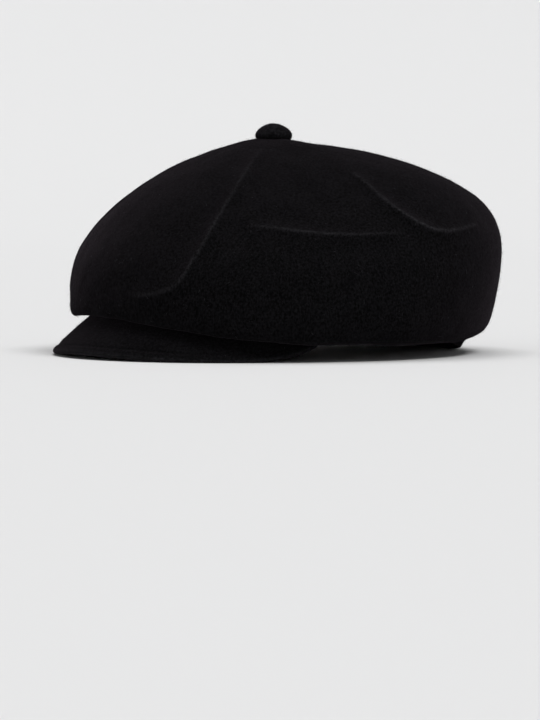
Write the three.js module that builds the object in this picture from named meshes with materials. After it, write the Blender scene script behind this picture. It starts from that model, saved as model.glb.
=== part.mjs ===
import * as THREE from 'three';

// Sizes are in millimetres and angles in degrees.
// The wearer's front is -Y and the wearer's left is +X.
// Shapes are stated over the plane of the head opening, and the finished cap is then laid on its rest.
const openingHalfWidth = 83;
const openingHalfLength = 99;
const bandHeight = 27;
const bandWall = 2.8;
const crownSideOverhang = 38;
const crownEndOverhang = 22;
const crownForward = 11;
const crownHeight = 100;
const crownWall = 2.3;
const buttonRadius = 10.5;
const buttonHeight = 8;
const buttonForward = 32;
const buttonRight = 4;
const peakDepth = 56;
const peakWall = 3;
const peakHalfAngle = 69;
const peakSlope = 49;
const peakSideSlope = 54;
const peakCurl = 5;
const peakTaper = { bend: 2.5, fullness: 0.55 };
const seamGap = 0.3;
const peakGap = 0.75;
const restPress = 0.9;

// The crown's upper sections, one row for each direction, counted from the front towards the wearer's left.
// reach is the widest line's distance from the crown's centre, as a share of the crown's outline there.
// belt is the height of the widest line, as a share of crownHeight.
// bend and fullness shape the curve from the button to the widest line.
// swell lifts its middle, as a share of crownHeight.
const upperSections = [
  { angle: 0, reach: 1, belt: 0.06, bend: 1.2, fullness: 1.63, swell: 0 },
  { angle: 45, reach: 1, belt: 0.05, bend: 1.16, fullness: 1.64, swell: 0.02 },
  { angle: 90, reach: 1, belt: 0.21, bend: 1.95, fullness: 1.84, swell: -0.02 },
  { angle: 135, reach: 1.004, belt: 0.47, bend: 2.9, fullness: 2.74, swell: 0.01 },
  { angle: 180, reach: 1, belt: 0.52, bend: 2.8, fullness: 2.4, swell: 0.06 },
  { angle: 225, reach: 0.99, belt: 0.46, bend: 2.5, fullness: 2.3, swell: 0.02 },
  { angle: 270, reach: 0.99, belt: 0.3, bend: 1.8, fullness: 1.95, swell: 0.01 },
  { angle: 315, reach: 1, belt: 0.12, bend: 1.35, fullness: 1.75, swell: 0 },
];

// The lower sections, in the same directions.
// lift is the height of the underside's lowest line, as a share of crownHeight.
// droop lowers it, as a share of the fall that the peak's slope has over the same overhang.
// tuck is how far out the underside stays low, as a share of the way from the seam to the widest line.
// seam is the height of the join with the band and bulge the band's roundness, as shares of bandHeight.
const lowerSections = [
  { angle: 0, lift: 0, droop: 0.66, tuck: 0.85, seam: 0.52, bulge: 0.02 },
  { angle: 45, lift: 0, droop: 0.61, tuck: 0.85, seam: 0.56, bulge: 0.02 },
  { angle: 90, lift: 0, droop: 0.31, tuck: 0.6, seam: 0.67, bulge: 0.08 },
  { angle: 135, lift: 0.06, droop: 0, tuck: 0.5, seam: 0.89, bulge: 0.17 },
  { angle: 180, lift: 0.26, droop: 0, tuck: 0.5, seam: 1, bulge: 0.19 },
  { angle: 225, lift: 0.13, droop: 0, tuck: 0.45, seam: 0.89, bulge: 0.15 },
  { angle: 270, lift: 0.02, droop: 0, tuck: 0.6, seam: 0.67, bulge: 0.08 },
  { angle: 315, lift: 0, droop: 0.39, tuck: 0.85, seam: 0.56, bulge: 0.02 },
];

// The soft creases that stand up from the crown, one row for each.
// Each runs through its points, stated by angle and by way.
// A way is 0 at the button, 1 at the widest line and 2 at the seam.
// height is a share of crownHeight and width a share of the crown's radius.
const creases = [
  {
    place: 'front left',
    angles: [36, 34, 31, 26, 13],
    ways: [0.24, 0.58, 0.86, 1.05, 1.14],
    height: 0.032,
    width: 0.035,
  },
  {
    place: 'left shoulder',
    angles: [43, 55, 71, 90],
    ways: [0.64, 0.655, 0.69, 0.74],
    height: 0.026,
    width: 0.035,
  },
  {
    place: 'left top',
    angles: [88, 90, 96, 104, 119],
    ways: [0.36, 0.58, 0.73, 0.8, 0.81],
    height: 0.034,
    width: 0.04,
  },
  {
    place: 'front right',
    angles: [322, 319, 322, 331],
    ways: [0.26, 0.56, 0.86, 1.16],
    height: 0.026,
    width: 0.045,
  },
  {
    place: 'right shoulder',
    angles: [298, 280, 262, 244],
    ways: [0.66, 0.7, 0.72, 0.7],
    height: 0.024,
    width: 0.045,
  },
  {
    place: 'back',
    angles: [168, 178, 192, 212],
    ways: [0.4, 0.58, 0.72, 0.8],
    height: 0.026,
    width: 0.045,
  },
];
const creaseRoundness = 0.014;
const creaseFade = 0.6;
const hollowBeside = { depth: 0.3, width: 3 };
// The ways over which creases and dents fade out before the seam.
const calmWays = { from: 1.6, until: 1.9 };

// The soft dents between the creases: depth is a share of crownHeight and spread a share of the radius.
const dents = [
  { place: 'left', angle: 70, way: 0.52, depth: 0.018, spread: 0.14 },
  { place: 'right', angle: 285, way: 0.5, depth: 0.02, spread: 0.2 },
];

// The lines of the meshes: where their rings lie and how many points each has.
// The peak's sections stop at peakEndShare of its half angle.
const columns = 80;
const outerRings = { above: 20, below: 12 };
const innerWays = [2, 1.88, 1.76, 1.62, 1.48, 1.34, 1.2, 1.06, 0.92, 0.78, 0.64, 0.5, 0.36, 0.22, 0.1];
const shoulderSpacing = 1.8;
const tipRoundness = 0.08;
const creaseSteps = 24;
const peakSections = 36;
const peakRows = 6;
const peakEndShare = 0.995;
const peakEdgeTurns = [45, 0, -45];
const buttonColumns = 24;

// The weights that let the upper and lower sections run into each other.
const softening = [
  { offset: -0.16, weight: 0.1 },
  { offset: -0.08, weight: 0.2 },
  { offset: 0, weight: 0.4 },
  { offset: 0.08, weight: 0.2 },
  { offset: 0.16, weight: 0.1 },
];

const radians = Math.PI / 180;
const crownHalfWidth = openingHalfWidth + crownSideOverhang;
const crownHalfLength = openingHalfLength + crownEndOverhang;
const crownRadius = (crownHalfWidth + crownHalfLength) / 2;
const buttonPlan = new THREE.Vector3(-buttonRight, -buttonForward, 0);

// A smooth closed curve through one column of a table of sections.
function around(angle, sections, column) {
  const count = sections.length;
  let value = sections.reduce((sum, row) => sum + row[column], 0) / count;
  for (let wave = 1; wave <= count / 2; wave += 1) {
    const isLast = wave === count / 2;
    let cosine = 0;
    let sine = 0;
    for (const row of sections) {
      cosine += row[column] * Math.cos(wave * row.angle * radians);
      sine += row[column] * Math.sin(wave * row.angle * radians);
    }
    const scale = (isLast ? 1 : 2) / count;
    value += scale * cosine * Math.cos(wave * angle * radians);
    if (!isLast) value += scale * sine * Math.sin(wave * angle * radians);
  }
  return value;
}

function ellipseRadius(angle, halfWidth, halfLength) {
  return 1 / Math.hypot(Math.sin(angle * radians) / halfWidth, Math.cos(angle * radians) / halfLength);
}

function heading(angle) {
  return new THREE.Vector3(Math.sin(angle * radians), -Math.cos(angle * radians), 0);
}

// The head opening's edge in plan, moved outward.
function openingPlan(angle, outward) {
  return heading(angle).multiplyScalar(ellipseRadius(angle, openingHalfWidth, openingHalfLength) + outward);
}

// The widest line of the crown in plan.
function beltPlan(angle) {
  const outline = ellipseRadius(angle, crownHalfWidth, crownHalfLength);
  const point = heading(angle).multiplyScalar(outline * around(angle, upperSections, 'reach'));
  point.y -= crownForward;
  return point;
}

// The line in plan where the crown's underside meets the band's outer face.
function seamPlan(angle) {
  return openingPlan(angle, bandWall + seamGap);
}

function seamHeight(angle) {
  return bandHeight * around(angle, lowerSections, 'seam');
}

// The height of the lowest line of the crown's underside.
function lipHeight(angle) {
  const overhang = beltPlan(angle).distanceTo(seamPlan(angle));
  const fall = overhang * Math.tan(peakSlope * radians) - peakWall;
  return crownHeight * around(angle, lowerSections, 'lift') - fall * around(angle, lowerSections, 'droop');
}

// The share of the crown's fall at one share of the way out, with the tip under the button rounded.
function crownFall(angle, share) {
  const bend = around(angle, upperSections, 'bend');
  const tip = tipRoundness ** bend;
  return (Math.hypot(share, tipRoundness) ** bend - tip) / (Math.hypot(1, tipRoundness) ** bend - tip);
}

function crownAbove(angle, share) {
  const belt = crownHeight * around(angle, upperSections, 'belt');
  const point = buttonPlan.clone().lerp(beltPlan(angle), share);
  const rise = Math.max(0, 1 - crownFall(angle, share)) ** (1 / around(angle, upperSections, 'fullness'));
  const swell = crownHeight * around(angle, upperSections, 'swell') * Math.sin(Math.PI * share ** 1.1) ** 2;
  point.z = belt + (crownHeight - belt) * rise + swell;
  return point;
}

function crownBelow(angle, share) {
  const outer = beltPlan(angle);
  const inner = seamPlan(angle);
  const tucked = inner.clone().lerp(outer, around(angle, lowerSections, 'tuck'));
  outer.z = crownHeight * around(angle, upperSections, 'belt');
  inner.z = seamHeight(angle);
  // The two middle points are low enough to bring the curve's middle to the lip's height.
  tucked.z = (8 * lipHeight(angle) - outer.z - inner.z) / 6;
  const under = new THREE.Vector3(outer.x, outer.y, tucked.z);
  return new THREE.CubicBezierCurve3(outer, under, tucked, inner).getPoint(share);
}

function crownSection(angle, way) {
  if (way <= 1) return crownAbove(angle, 1 - (1 - way) ** shoulderSpacing);
  return crownBelow(angle, way - 1);
}

function crownSmooth(angle, way) {
  const room = Math.min(1, way / softening.at(-1).offset, (2 - way) / softening.at(-1).offset);
  const point = new THREE.Vector3();
  for (const sample of softening) {
    point.addScaledVector(crownSection(angle, way + sample.offset * room), sample.weight);
  }
  return point;
}

function crownOutward(angle, way) {
  const here = Math.min(Math.max(way, 0.03), 1.98);
  const along = crownSmooth(angle, here + 0.01).sub(crownSmooth(angle, here - 0.01));
  const sideways = crownSmooth(angle + 0.5, here).sub(crownSmooth(angle - 0.5, here));
  return along.cross(sideways).normalize();
}

function creaseLine(row) {
  const places = row.angles.map((angle, index) => new THREE.Vector2(angle, row.ways[index]));
  const path = new THREE.SplineCurve(places);
  return Array.from({ length: creaseSteps + 1 }, (unused, step) => {
    const place = path.getPoint(step / creaseSteps);
    return crownSmooth(place.x, place.y);
  });
}

const creaseLines = creases.map(creaseLine);
const dentCentres = dents.map((row) => crownSmooth(row.angle, row.way));

function nearestOnLine(line, point) {
  const nearest = { distance: Infinity, share: 0 };
  for (let step = 0; step < creaseSteps; step += 1) {
    const piece = new THREE.Line3(line[step], line[step + 1]);
    const along = piece.closestPointToPointParameter(point, true);
    const distance = piece.at(along, new THREE.Vector3()).distanceTo(point);
    if (distance < nearest.distance) {
      nearest.distance = distance;
      nearest.share = (step + along) / creaseSteps;
    }
  }
  return nearest;
}

// How far one crease lifts the crown's skin at a point.
function creaseLift(row, line, point) {
  const nearest = nearestOnLine(line, point);
  const roundness = creaseRoundness * crownRadius;
  const width = row.width * crownRadius;
  const fade = Math.sin(Math.PI * nearest.share) ** creaseFade;
  const crest = Math.exp(-(Math.hypot(nearest.distance, roundness) - roundness) / width);
  const hollow = hollowBeside.depth * Math.exp(-((nearest.distance / (hollowBeside.width * width)) ** 2));
  return row.height * crownHeight * fade * (crest - hollow);
}

function dentDepth(row, centre, point) {
  const distance = centre.distanceTo(point) / (row.spread * crownRadius);
  return row.depth * crownHeight * Math.exp(-(distance ** 2));
}

// A point of the crown's skin, with its creases and dents, some depth under the outer face.
function crownSkin(angle, way, depth) {
  const point = crownSmooth(angle, way);
  let lift = 0;
  creases.forEach((row, index) => {
    lift += creaseLift(row, creaseLines[index], point);
  });
  dents.forEach((row, index) => {
    lift -= dentDepth(row, dentCentres[index], point);
  });
  const strength = (calmWays.until - way) / (calmWays.until - calmWays.from);
  const calm = Math.min(1, Math.max(0, strength));
  return point.addScaledVector(crownOutward(angle, way), lift * calm - depth);
}

function ringOf(pointAt, count = columns) {
  return Array.from({ length: count }, (unused, column) => pointAt((360 * column) / count));
}

// A closed skin through rings of equal count, with a point at each end.
function skinBetweenPoints(first, rings, last) {
  const points = [first, ...rings.flat(), last];
  const count = rings[0].length;
  const end = 1 + (rings.length - 1) * count;
  const faces = [];
  for (let column = 0; column < count; column += 1) {
    const next = (column + 1) % count;
    faces.push(0, 1 + column, 1 + next);
    for (let here = 1; here < end; here += count) {
      const there = here + count;
      faces.push(here + column, there + column, there + next);
      faces.push(here + column, there + next, here + next);
    }
    faces.push(points.length - 1, end + next, end + column);
  }
  return { points, faces };
}

// A closed skin through rings that come back to the first one.
function skinRound(rings) {
  const points = rings.flat();
  const count = rings[0].length;
  const faces = [];
  for (let here = 0; here < points.length; here += count) {
    const there = (here + count) % points.length;
    for (let column = 0; column < count; column += 1) {
      const next = (column + 1) % count;
      faces.push(here + column, there + column, there + next);
      faces.push(here + column, there + next, here + next);
    }
  }
  return { points, faces };
}

// The crown's inner face, which stops at the band's outer face.
function crownInside(angle, way) {
  const point = crownSkin(angle, way, crownWall);
  const least = seamPlan(angle).length();
  const plan = Math.hypot(point.x, point.y);
  if (way > 1 && plan < least) {
    point.x *= least / plan;
    point.y *= least / plan;
  }
  return point;
}

// The crown: its outer skin from the button to the seam, and its inner skin back again.
function crownShell() {
  const rings = [];
  for (let step = 1; step <= outerRings.above; step += 1) {
    rings.push(ringOf((angle) => crownSkin(angle, step / outerRings.above, 0)));
  }
  for (let step = 1; step <= outerRings.below; step += 1) {
    rings.push(ringOf((angle) => crownSkin(angle, 1 + step / outerRings.below, 0)));
  }
  for (const way of innerWays) rings.push(ringOf((angle) => crownInside(angle, way)));
  const top = crownSmooth(0, 0);
  const underTop = top.clone();
  underTop.z -= crownWall;
  return skinBetweenPoints(top, rings, underTop);
}

// The band: a soft wall round the head opening, whose top stands inside the crown's lower edge.
function bandShell() {
  const fullUntil = 0.88;
  const outerShares = [1, 0.88, 0.66, 0.44, 0.22, 0];
  const innerShares = [0, 0.33, 0.66, 1];
  const pointAt = (angle, share, wall) => {
    const rounded = Math.sin(Math.PI * Math.min(1, share / fullUntil)) ** 2;
    const bulge = bandHeight * around(angle, lowerSections, 'bulge') * rounded;
    const point = openingPlan(angle, wall + bulge);
    point.z = (seamHeight(angle) + crownWall / 2) * share;
    return point;
  };
  const inside = innerShares.map((share) => ringOf((angle) => pointAt(angle, share, 0)));
  const outside = outerShares.map((share) => ringOf((angle) => pointAt(angle, share, bandWall)));
  return skinRound([...inside, ...outside]);
}

// One upright section across the peak: along its upper face, round its edge and back underneath.
function peakSection(angle) {
  const endShare = Math.abs(angle) / peakHalfAngle;
  const half = peakWall / 2;
  const taper = (1 - endShare ** peakTaper.bend) ** peakTaper.fullness;
  const depth = Math.max(peakWall, peakDepth * taper);
  const slope = peakSlope + (peakSideSlope - peakSlope) * endShare ** 2;
  const root = openingPlan(angle, bandWall + peakGap);
  const outward = heading(angle);
  outward.x /= openingHalfWidth;
  outward.y /= openingHalfLength;
  outward.normalize();
  const place = (across, height) => {
    const point = root.clone().addScaledVector(outward, across);
    point.z = height;
    return point;
  };
  const upper = [];
  const lower = [];
  for (let row = 0; row <= peakRows; row += 1) {
    const along = (row / peakRows) * (1 - half / depth);
    const middle = (slope + peakCurl * (along - 1)) * radians;
    const local = (slope + peakCurl * (2 * along - 1)) * radians;
    const across = depth * along * Math.cos(middle);
    const height = -depth * along * Math.sin(middle);
    // The root is cut upright, beside the band.
    const lean = row === 0 ? 0 : half * Math.sin(local);
    const rise = row === 0 ? half / Math.cos(local) : half * Math.cos(local);
    upper.push(place(across + lean, height + rise));
    lower.unshift(place(across - lean, height - rise));
  }
  const edgeCentre = upper.at(-1).clone().add(lower[0]).multiplyScalar(0.5);
  const edgeSlope = (slope + peakCurl * (1 - half / depth)) * radians;
  const edge = peakEdgeTurns.map((turn) => {
    const direction = turn * radians - edgeSlope;
    const point = edgeCentre.clone().addScaledVector(outward, half * Math.cos(direction));
    point.z += half * Math.sin(direction);
    return point;
  });
  return [...upper, ...edge, ...lower];
}

// The peak: its sections from one end to the other, closer together at the ends.
function peakPlate() {
  const sections = [];
  for (let step = 0; step <= peakSections; step += 1) {
    const turn = (Math.PI / 2) * ((2 * step) / peakSections - 1);
    sections.push(peakSection(peakEndShare * peakHalfAngle * Math.sin(turn)));
  }
  const points = sections.flat();
  const size = sections[0].length;
  const end = points.length - size;
  const faces = [];
  for (let here = 0; here < end; here += size) {
    const there = here + size;
    for (let corner = 0; corner < size; corner += 1) {
      const next = (corner + 1) % size;
      faces.push(here + corner, there + next, there + corner);
      faces.push(here + corner, here + next, there + next);
    }
  }
  // Each end section is closed by a strip between its upper and its lower face.
  for (let corner = 0; corner + 1 < size / 2; corner += 1) {
    const across = size - 1 - corner;
    faces.push(corner, across, across - 1);
    faces.push(end + corner, end + across - 1, end + across);
    if (across - 1 > corner + 1) {
      faces.push(corner, across - 1, corner + 1);
      faces.push(end + corner, end + corner + 1, end + across - 1);
    }
  }
  return { points, faces };
}

// The button: its underside follows the crown and its top is a low dome.
function buttonDome() {
  const profile = [
    { out: 0.45, rise: 0.95 },
    { out: 0.75, rise: 0.81 },
    { out: 0.93, rise: 0.57 },
    { out: 1, rise: 0.3 },
    { out: 0.98, rise: 0.1 },
    { out: 0.94, rise: 0 },
    { out: 0.5, rise: 0 },
  ];
  const place = (angle, out, rise) => {
    const share = (buttonRadius * out) / beltPlan(angle).distanceTo(buttonPlan);
    const point = crownSmooth(angle, 1 - (1 - share) ** (1 / shoulderSpacing));
    point.z += seamGap + buttonHeight * rise;
    return point;
  };
  const rings = profile.map((row) => ringOf((angle) => place(angle, row.out, row.rise), buttonColumns));
  return skinBetweenPoints(place(0, 0, 1), rings, place(0, 0, 0));
}

// The point after the whole cap is tilted, with its front raised.
function tilted(point, tilt) {
  const run = point.y * Math.cos(tilt) + point.z * Math.sin(tilt);
  const height = point.z * Math.cos(tilt) - point.y * Math.sin(tilt);
  return new THREE.Vector3(point.x, run, height);
}

function lowest(skin, tilt) {
  return Math.min(...skin.points.map((point) => tilted(point, tilt).z));
}

// The tilt at which the peak's low corners and the back of the band lie equally low.
function restTilt(peak, band) {
  let low = 0;
  let high = 30 * radians;
  for (let step = 0; step < 40; step += 1) {
    const middle = (low + high) / 2;
    if (lowest(peak, middle) < lowest(band, middle)) low = middle;
    else high = middle;
  }
  return low;
}

// The cap at rest: tilted, pressed a little against the surface and centred over the origin.
function layDown(skins) {
  const tilt = restTilt(skins.peak, skins.band);
  const surface = lowest(skins.band, tilt) + restPress;
  const outline = new THREE.Box3();
  for (const skin of Object.values(skins)) {
    skin.points = skin.points.map((point) => tilted(point, tilt));
    for (const point of skin.points) {
      point.z = Math.max(0, point.z - surface);
      outline.expandByPoint(point);
    }
  }
  const middle = outline.getCenter(new THREE.Vector3()).setZ(0);
  for (const skin of Object.values(skins)) skin.points.forEach((point) => point.sub(middle));
}

function felt(colour) {
  return new THREE.MeshStandardMaterial({ color: colour, roughness: 0.95, metalness: 0, flatShading: true });
}

const materials = {
  crown: felt(0x1c1b1d),
  band: felt(0x1a191b),
  peak: felt(0x1d1c1e),
  button: felt(0x1f1e20),
};

const skins = {
  crown: crownShell(),
  band: bandShell(),
  peak: peakPlate(),
  button: buttonDome(),
};
layDown(skins);

const cap = new THREE.Group();
for (const [name, skin] of Object.entries(skins)) {
  const positions = skin.points.flatMap((point) => point.toArray());
  const geometry = new THREE.BufferGeometry();
  geometry.setAttribute('position', new THREE.Float32BufferAttribute(positions, 3));
  geometry.setIndex(skin.faces);
  geometry.computeVertexNormals();
  const mesh = new THREE.Mesh(geometry, materials[name]);
  mesh.name = name;
  cap.add(mesh);
}

export default cap;
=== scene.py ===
import math

import bpy
import numpy as np
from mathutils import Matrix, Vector, noise


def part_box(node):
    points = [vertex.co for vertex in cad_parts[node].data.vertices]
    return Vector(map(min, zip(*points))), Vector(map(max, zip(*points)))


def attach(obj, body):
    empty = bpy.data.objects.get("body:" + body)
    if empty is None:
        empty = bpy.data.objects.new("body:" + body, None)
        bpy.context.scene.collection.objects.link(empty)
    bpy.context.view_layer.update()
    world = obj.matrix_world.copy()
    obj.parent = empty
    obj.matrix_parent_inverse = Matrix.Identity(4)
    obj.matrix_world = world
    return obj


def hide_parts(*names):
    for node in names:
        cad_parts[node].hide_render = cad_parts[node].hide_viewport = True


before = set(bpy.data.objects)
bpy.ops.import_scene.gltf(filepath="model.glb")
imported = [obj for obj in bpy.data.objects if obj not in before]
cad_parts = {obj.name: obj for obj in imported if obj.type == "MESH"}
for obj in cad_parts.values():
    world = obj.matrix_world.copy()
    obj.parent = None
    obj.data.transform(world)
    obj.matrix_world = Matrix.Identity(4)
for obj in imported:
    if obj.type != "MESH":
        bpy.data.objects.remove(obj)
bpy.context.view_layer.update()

# Lengths in the dictionaries are in millimetres and angles in degrees; the scene itself is in metres.
# The wearer's front is -Y and the wearer's left is +X.
mm = 0.001
print("frame loaded, with nodes", sorted(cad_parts))


# Camera

shot = {
    "azimuth": 56,
    "distance": 2000,
    "eyeHeight": 105,
    "aim": (6, -8, -4),
    "lens": 176,
    "clipEnd": 20000,
}


def addCamera():
    aim = Vector(shot["aim"]) * mm
    turn = math.radians(shot["azimuth"])
    away = Vector((math.sin(turn), -math.cos(turn), 0)) * shot["distance"] * mm
    data = bpy.data.cameras.new("camera")
    data.lens = shot["lens"]
    data.clip_end = shot["clipEnd"] * mm
    camera = bpy.data.objects.new("camera", data)
    camera.location = (aim.x + away.x, aim.y + away.y, shot["eyeHeight"] * mm)
    camera.rotation_euler = (aim - camera.location).to_track_quat("-Z", "Y").to_euler()
    bpy.context.collection.objects.link(camera)
    bpy.context.scene.camera = camera


addCamera()
print("camera placed")


# Helpers for materials and node trees

def newMaterial(name):
    material = bpy.data.materials.new(name)
    material.use_nodes = True
    tree = material.node_tree
    return material, tree, tree.nodes["Principled BSDF"]


def addNode(tree, kind, **settings):
    node = tree.nodes.new(kind)
    for name, value in settings.items():
        setattr(node, name, value)
    return node


def setInputs(node, **values):
    for name, value in values.items():
        node.inputs[name.replace("_", " ")].default_value = value
    return node


# Felt: short fibres that lie every way, a fine grain and slow patches, with a soft nap at grazing angles.
# The attribute crest is the strength of a painted highlight, about 1 near a crease or the peak's rim and 0
# away from them. creaseOffset is the distance to that line in millimetres, with a sign for the side of a
# crease:
# right on the line the base colour is painted lighter, a painted highlight for the light a crest catches.

feltLook = {
    "dark": 0.0018,
    "darkTint": (1, 0.98, 1.02),
    "darkUntil": 0.44,
    "light": 0.0078,
    "lightTint": (1, 0.97, 1.08),
    "lightFrom": 0.64,
    # how much lighter the painted highlight makes the base colour right on a line, and how narrow it is
    "highlightGain": 1.7,
    "highlightLineWidth": 1.15,
    "fibreWidth": 0.55,
    "fibreLength": 2.8,
    "fibreDetail": 2.0,
    "fibreRoughness": 0.55,
    "fibreTurns": [(20, 40, 0), (100, -30, 50), (-60, 15, 110)],
    "grain": 1.3,
    "grainDetail": 5.0,
    "grainShare": 0.5,
    "patch": 16,
    "patchDetail": 3.0,
    "patchShare": 0.1,
    "bumpHeight": 0.5,
    "bumpStrength": 0.6,
    "roughness": 0.95,
    "specular": 0.0,
    "sheen": 0.034,
    "sheenRoughness": 0.4,
    "sheenTint": (1.0, 0.82, 0.97, 1),
}


def noiseOf(tree, size, detail):
    # a noise whose waves are about size millimetres long
    return setInputs(addNode(tree, "ShaderNodeTexNoise"), Scale=1 / (size * mm), Detail=detail)


def paintedHighlightLine(tree):
    # a painted highlight: a narrow bell across the crease's line, times the attribute crest
    crest = addNode(tree, "ShaderNodeAttribute", attribute_name="crest")
    offset = addNode(tree, "ShaderNodeAttribute", attribute_name="creaseOffset")
    share = addNode(tree, "ShaderNodeMath", operation="DIVIDE")
    share.inputs[1].default_value = feltLook["highlightLineWidth"]
    square = addNode(tree, "ShaderNodeMath", operation="MULTIPLY")
    minus = addNode(tree, "ShaderNodeMath", operation="MULTIPLY")
    minus.inputs[1].default_value = -1
    bell = addNode(tree, "ShaderNodeMath", operation="EXPONENT")
    line = addNode(tree, "ShaderNodeMath", operation="MULTIPLY")
    tree.links.new(offset.outputs["Fac"], share.inputs[0])
    tree.links.new(share.outputs["Value"], square.inputs[0])
    tree.links.new(share.outputs["Value"], square.inputs[1])
    tree.links.new(square.outputs["Value"], minus.inputs[0])
    tree.links.new(minus.outputs["Value"], bell.inputs[0])
    tree.links.new(bell.outputs["Value"], line.inputs[0])
    tree.links.new(crest.outputs["Fac"], line.inputs[1])
    return line.outputs["Value"]


def feltMaterial(name, shade):
    material, tree, shader = newMaterial(name)
    place = addNode(tree, "ShaderNodeTexCoord")
    link = tree.links.new
    across = 1 / (feltLook["fibreWidth"] * mm)
    along = 1 / (feltLook["fibreLength"] * mm)
    fibres = None
    for turn in feltLook["fibreTurns"]:
        mapping = addNode(tree, "ShaderNodeMapping")
        mapping.inputs["Rotation"].default_value = [math.radians(angle) for angle in turn]
        mapping.inputs["Scale"].default_value = (across, across, along)
        strands = setInputs(addNode(tree, "ShaderNodeTexNoise"), Scale=1.0, Detail=feltLook["fibreDetail"])
        strands.inputs["Roughness"].default_value = feltLook["fibreRoughness"]
        link(place.outputs["Object"], mapping.inputs["Vector"])
        link(mapping.outputs["Vector"], strands.inputs["Vector"])
        if fibres is None:
            fibres = strands.outputs["Fac"]
            continue
        higher = addNode(tree, "ShaderNodeMath", operation="MAXIMUM")
        link(fibres, higher.inputs[0])
        link(strands.outputs["Fac"], higher.inputs[1])
        fibres = higher.outputs["Value"]
    grain = noiseOf(tree, feltLook["grain"], feltLook["grainDetail"])
    patch = noiseOf(tree, feltLook["patch"], feltLook["patchDetail"])
    link(place.outputs["Object"], grain.inputs["Vector"])
    link(place.outputs["Object"], patch.inputs["Vector"])
    nap = setInputs(addNode(tree, "ShaderNodeMix", data_type="FLOAT"), Factor=feltLook["grainShare"])
    link(fibres, nap.inputs[2])
    link(grain.outputs["Fac"], nap.inputs[3])
    uneven = setInputs(addNode(tree, "ShaderNodeMix", data_type="FLOAT"), Factor=feltLook["patchShare"])
    link(nap.outputs[0], uneven.inputs[2])
    link(patch.outputs["Fac"], uneven.inputs[3])
    ramp = addNode(tree, "ShaderNodeValToRGB")
    dark, light = ramp.color_ramp.elements
    dark.position, light.position = feltLook["darkUntil"], feltLook["lightFrom"]
    dark.color = [feltLook["dark"] * shade * part for part in feltLook["darkTint"]] + [1]
    light.color = [feltLook["light"] * shade * part for part in feltLook["lightTint"]] + [1]
    # painted highlight: the base colour is made lighter along the creases and the peak's rim
    line = paintedHighlightLine(tree)
    gain = addNode(tree, "ShaderNodeMath", operation="MULTIPLY_ADD")
    gain.inputs[1].default_value = feltLook["highlightGain"]
    gain.inputs[2].default_value = 1
    shine = addNode(tree, "ShaderNodeVectorMath", operation="SCALE")
    bump = setInputs(addNode(tree, "ShaderNodeBump"), Strength=feltLook["bumpStrength"])
    bump.inputs["Distance"].default_value = feltLook["bumpHeight"] * mm
    link(uneven.outputs[0], ramp.inputs["Fac"])
    link(line, gain.inputs[0])
    link(ramp.outputs["Color"], shine.inputs[0])
    link(gain.outputs["Value"], shine.inputs["Scale"])
    link(nap.outputs[0], bump.inputs["Height"])
    link(shine.outputs["Vector"], shader.inputs["Base Color"])
    link(bump.outputs["Normal"], shader.inputs["Normal"])
    shader.inputs["Roughness"].default_value = feltLook["roughness"]
    shader.inputs["Specular IOR Level"].default_value = feltLook["specular"]
    shader.inputs["Sheen Weight"].default_value = feltLook["sheen"]
    shader.inputs["Sheen Roughness"].default_value = feltLook["sheenRoughness"]
    shader.inputs["Sheen Tint"].default_value = feltLook["sheenTint"]
    return material


threadLook = {
    "colour": (0.0022, 0.002, 0.0024, 1),
    "roughness": 0.8,
    "specular": 0.06,
    "twist": 0.4,
    "twistDetail": 2.0,
    "bumpHeight": 0.1,
    "bumpStrength": 0.5,
}


def threadMaterial():
    material, tree, shader = newMaterial("blackThread")
    place = addNode(tree, "ShaderNodeTexCoord")
    twist = noiseOf(tree, threadLook["twist"], threadLook["twistDetail"])
    bump = setInputs(addNode(tree, "ShaderNodeBump"), Strength=threadLook["bumpStrength"])
    bump.inputs["Distance"].default_value = threadLook["bumpHeight"] * mm
    tree.links.new(place.outputs["Object"], twist.inputs["Vector"])
    tree.links.new(twist.outputs["Fac"], bump.inputs["Height"])
    tree.links.new(bump.outputs["Normal"], shader.inputs["Normal"])
    shader.inputs["Base Color"].default_value = threadLook["colour"]
    shader.inputs["Roughness"].default_value = threadLook["roughness"]
    shader.inputs["Specular IOR Level"].default_value = threadLook["specular"]
    return material


# the second value is how light the felt is: the stray hairs and lint catch more light than the cloth
materials = {
    "crown": feltMaterial("crownFelt", 1.0),
    "band": feltMaterial("bandFelt", 0.9),
    "peak": feltMaterial("peakFelt", 1.05),
    "button": feltMaterial("buttonFelt", 1.9),
    "fibre": feltMaterial("strayFibres", 1.6),
    "lint": feltMaterial("paleLint", 7),
    "thread": threadMaterial(),
}
print("materials made")


# Shape of the cap, stated over the plane of the head opening

opening = {"halfWidth": 83, "halfLength": 99}
seamGap = 0.3

# The crown's sections, by their angle from the front towards the wearer's left. reach is a share of the
# plan's radius, belt, swell, lift and droop are shares of a height, tuck and seam tell where the lip turns in
# and meets the band, bulge is the band's own, and bend and fullness round the profile.
upperSections = [
    {"angle": 0, "reach": 1, "belt": 0.06, "bend": 1.2, "fullness": 1.63, "swell": 0},
    {"angle": 45, "reach": 1, "belt": 0.05, "bend": 1.16, "fullness": 1.64, "swell": 0.02},
    {"angle": 90, "reach": 1, "belt": 0.21, "bend": 1.95, "fullness": 1.84, "swell": -0.02},
    {"angle": 135, "reach": 1.004, "belt": 0.47, "bend": 2.9, "fullness": 2.74, "swell": 0.01},
    {"angle": 180, "reach": 1, "belt": 0.52, "bend": 2.8, "fullness": 2.4, "swell": 0.06},
    {"angle": 225, "reach": 0.99, "belt": 0.46, "bend": 2.5, "fullness": 2.3, "swell": 0.02},
    {"angle": 270, "reach": 0.99, "belt": 0.3, "bend": 1.8, "fullness": 1.95, "swell": 0.01},
    {"angle": 315, "reach": 1, "belt": 0.12, "bend": 1.35, "fullness": 1.75, "swell": 0},
]
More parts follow.
